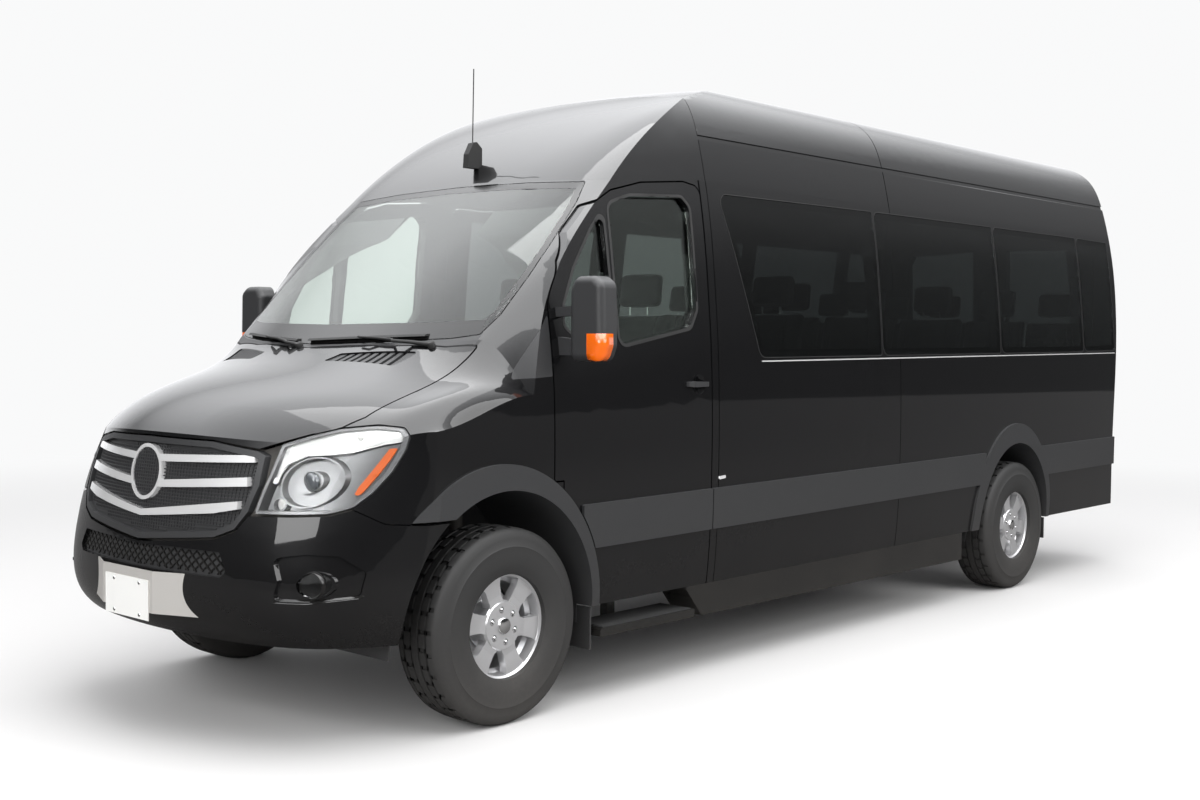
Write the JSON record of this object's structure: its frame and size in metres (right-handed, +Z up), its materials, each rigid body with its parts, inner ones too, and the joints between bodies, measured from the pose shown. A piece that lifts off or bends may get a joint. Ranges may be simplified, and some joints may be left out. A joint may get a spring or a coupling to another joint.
{
  "type": "minibus",
  "caption": "High-roof passenger minibus with long wheelbase, glazed sides, opening cab and rear doors, hood, steered front wheels and seat rows.",
  "frame": {"origin": "on the ground, at the centre of the bounding box", "axes": "+X to the driver's (left-hand) side, -Y to the front, +Z up"},
  "size_m": [2.4256, 7.002, 2.7569],
  "materials": {
    "paint": "gloss black",
    "plastic": "satin dark grey",
    "glass_dark": "dark tint",
    "glass_screen": "clear",
    "glass_door": "green tint",
    "chrome": "polished",
    "lens": "clear lens",
    "lamp_body": "bright reflector",
    "lamp_red": "red lens",
    "alloy": "silver lacquer",
    "tyre": "matt",
    "steel": "black underseal",
    "iron": "dull",
    "exhaust": "heat stained",
    "sheet": "brushed",
    "interior": "grained",
    "fabric": "woven",
    "floor": "rubber floor",
    "rubber": "matt",
    "mirror": "mirror"
  },
  "bodies": {
    "body": {"side_wall_left": "paint", "side_wall_right": "paint", "sliding_door": "paint", "side_glass": "glass_dark", "roof": "paint", "cab_frame": "paint", "windscreen": "glass_screen", "cowl": "plastic", "front_fenders": "paint", "headlamp_lenses": "lens", "headlamps": "lamp_body", "front_bumper": "paint", "grille": "plastic", "grille_slats": "chrome", "arch_flares": "plastic", "side_mouldings": "plastic", "floor_pan": "floor", "wheel_housings": "plastic", "chassis_frame": "steel", "engine_block": "iron", "front_subframe": "steel", "rear_axle": "steel", "rear_bumper": "plastic", "tail_lamps": "lamp_red", "running_boards": "plastic", "exhaust": "exhaust", "fuel_tank": "plastic", "dashboard": "interior", "cab_seats": "fabric", "cabin_seats": "fabric", "seat_frames": "steel", "plate_bracket": "sheet", "antenna": "rubber", "wipers": "rubber"},
    "door_left": {"door_left": "paint", "door_left_glass": "glass_door", "door_left_trim": "plastic", "mirror_left_glass": "mirror"},
    "door_right": {"door_right": "paint", "door_right_glass": "glass_door", "door_right_trim": "plastic", "mirror_right_glass": "mirror"},
    "rear_door_left": {"rear_door_left": "paint", "rear_glass_left": "glass_dark"},
    "rear_door_right": {"rear_door_right": "paint", "rear_glass_right": "glass_dark"},
    "hood": {"hood": "paint", "hood_vents": "plastic"},
    "steering_wheel": {"steering_wheel": "interior"},
    "knuckle_left": {"knuckle_left": "iron"},
    "knuckle_right": {"knuckle_right": "iron"},
    "wheel_front_left": {"wheel_front_left_rim": "alloy", "wheel_front_left_tyre": "tyre"},
    "wheel_front_right": {"wheel_front_right_rim": "alloy", "wheel_front_right_tyre": "tyre"},
    "wheel_rear_left": {"wheel_rear_left_rim": "alloy", "wheel_rear_left_tyre": "tyre"},
    "wheel_rear_right": {"wheel_rear_right_rim": "alloy", "wheel_rear_right_tyre": "tyre"}
  },
  "joints": [
    {"name": "front_left_steer", "type": "hinge", "parent": "body", "child": "knuckle_left", "pos_m": [0.77, -2.435, 0.387], "axis": [0, 0, 1], "range_deg": [-38, 38]},
    {"name": "front_right_steer", "type": "hinge", "parent": "body", "child": "knuckle_right", "pos_m": [-0.77, -2.435, 0.387], "axis": [0, 0, 1], "range_deg": [-40, 40]},
    {"name": "front_left_spin", "type": "hinge", "parent": "knuckle_left", "child": "wheel_front_left", "pos_m": [0.856, -2.435, 0.387], "axis": [1, 0, 0], "continuous": true},
    {"name": "front_right_spin", "type": "hinge", "parent": "knuckle_right", "child": "wheel_front_right", "pos_m": [-0.856, -2.435, 0.387], "axis": [1, 0, 0], "continuous": true},
    {"name": "rear_left_spin", "type": "hinge", "parent": "body", "child": "wheel_rear_left", "pos_m": [0.856, 1.89, 0.387], "axis": [1, 0, 0], "continuous": true},
    {"name": "rear_right_spin", "type": "hinge", "parent": "body", "child": "wheel_rear_right", "pos_m": [-0.856, 1.89, 0.387], "axis": [1, 0, 0], "continuous": true},
    {"name": "steering_wheel_turn", "type": "hinge", "parent": "body", "child": "steering_wheel", "pos_m": [0.418, -1.763, 1.222], "axis": [0, 0.5878, 0.809], "range_deg": [-540, 540]},
    {"name": "door_left_swing", "type": "hinge", "parent": "body", "child": "door_left", "pos_m": [0.975, -2.185, 1], "axis": [0, 0, -1], "range_deg": [0, 70]},
    {"name": "door_right_swing", "type": "hinge", "parent": "body", "child": "door_right", "pos_m": [-0.975, -2.185, 1], "axis": [0, 0, 1], "range_deg": [0, 70]},
    {"name": "rear_door_left_swing", "type": "hinge", "parent": "body", "child": "rear_door_left", "pos_m": [0.8, 3.434, 1.5], "axis": [0, 0, -1], "range_deg": [0, 180]},
    {"name": "rear_door_right_swing", "type": "hinge", "parent": "body", "child": "rear_door_right", "pos_m": [-0.8, 3.434, 1.5], "axis": [0, 0, 1], "range_deg": [0, 180]},
    {"name": "hood_lift", "type": "hinge", "parent": "body", "child": "hood", "pos_m": [0, -2.466, 1.49], "axis": [-1, 0, 0], "range_deg": [0, 60]}
  ],
  "couplings": [
    {"joint": "front_right_steer", "follows": "front_left_steer", "ratio": 1},
    {"joint": "steering_wheel_turn", "follows": "front_left_steer", "ratio": 14}
  ]
}
